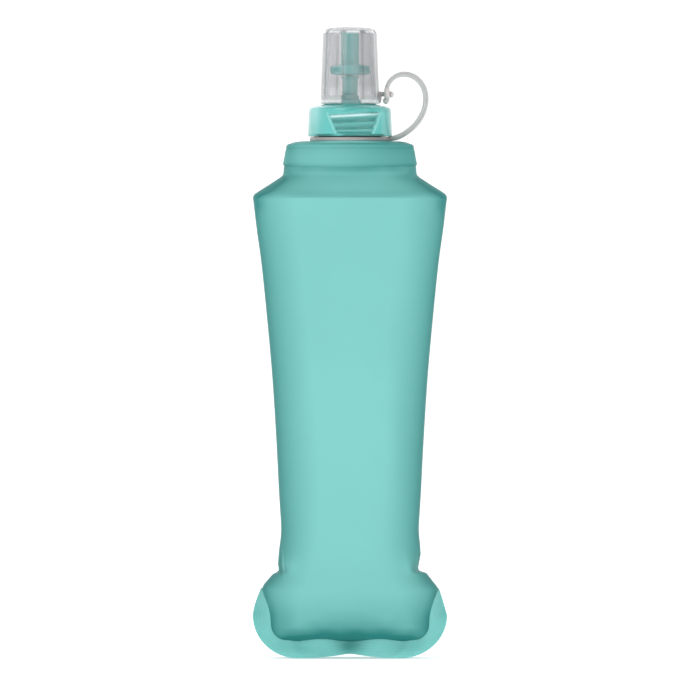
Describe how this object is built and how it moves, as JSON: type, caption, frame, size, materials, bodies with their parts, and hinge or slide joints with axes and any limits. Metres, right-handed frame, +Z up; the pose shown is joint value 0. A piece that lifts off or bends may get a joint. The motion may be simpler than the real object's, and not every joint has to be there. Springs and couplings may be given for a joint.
{
  "type": "folding water bottle",
  "caption": "Soft folding drinking pouch with a gusseted base, screw cap, push-pull bite nozzle and a tethered clear dust cover.",
  "frame": {"origin": "on the standing plane, under the middle of the base", "axes": "+Z up along the bottle to its nozzle, -Y towards the front, +X to the side the tether hangs on"},
  "size_m": [0.0776, 0.0498, 0.2524],
  "materials": {
    "film": "satin, slightly translucent",
    "cap_plastic": "gloss, slightly translucent",
    "spout_plastic": "satin",
    "silicone": "satin",
    "clear_plastic": "gloss, clear",
    "frosted_silicone": "satin, frosted",
    "seal_rubber": "matte"
  },
  "bodies": {
    "flask_upper": {"back_panel_upper": "film", "neck_collar": "film", "spout_insert": "spout_plastic"},
    "front_film": {"front_panel_upper": "film"},
    "flask_lower": {"front_panel_lower": "film", "back_panel_lower": "film", "base_gusset": "film"},
    "neck_ring": {"tether_ring": "frosted_silicone", "tether_strap": "frosted_silicone"},
    "cap": {"screw_cap": "cap_plastic", "cap_seal": "seal_rubber", "valve_core": "spout_plastic"},
    "nozzle": {"nozzle_stem": "cap_plastic", "nozzle_o_ring": "seal_rubber", "bite_valve": "silicone"},
    "cover": {"dust_cover": "clear_plastic"}
  },
  "joints": [
    {"name": "pouch_fold", "type": "hinge", "parent": "flask_upper", "child": "flask_lower", "pos_m": [0, -0.004, 0.088], "axis": [-1, 0, 0], "range_deg": [0, 170], "stiffness_Nm_per_rad": 0.2, "deforming": ["back_panel_upper", "front_panel_lower", "back_panel_lower", "base_gusset"]},
    {"name": "pouch_flatten", "type": "slide", "parent": "flask_upper", "child": "front_film", "axis": [0, 1, 0], "range_m": [0, 0.02], "deforming": ["front_panel_upper"]},
    {"name": "cap_turn", "type": "hinge", "parent": "flask_upper", "child": "neck_ring", "pos_m": [0, 0, 0.2076], "axis": [0, 0, 1], "range_deg": [0, 720.1]},
    {"name": "cap_lift", "type": "slide", "parent": "neck_ring", "child": "cap", "axis": [0, 0, 1], "range_m": [0, 0.00636], "deforming": ["tether_strap"]},
    {"name": "nozzle_slide", "type": "slide", "parent": "cap", "child": "nozzle", "axis": [0, 0, 1], "range_m": [-0.004, 0]},
    {"name": "cover_lift", "type": "slide", "parent": "cap", "child": "cover", "axis": [0, 0, 1], "range_m": [0, 0.03], "deforming": ["tether_strap"]}
  ],
  "couplings": [
    {"joint": "pouch_flatten", "follows": "pouch_fold", "m_per_rad": 0.00674},
    {"joint": "cap_turn", "follows": "cap_lift", "rad_per_m": 1975.8}
  ]
}
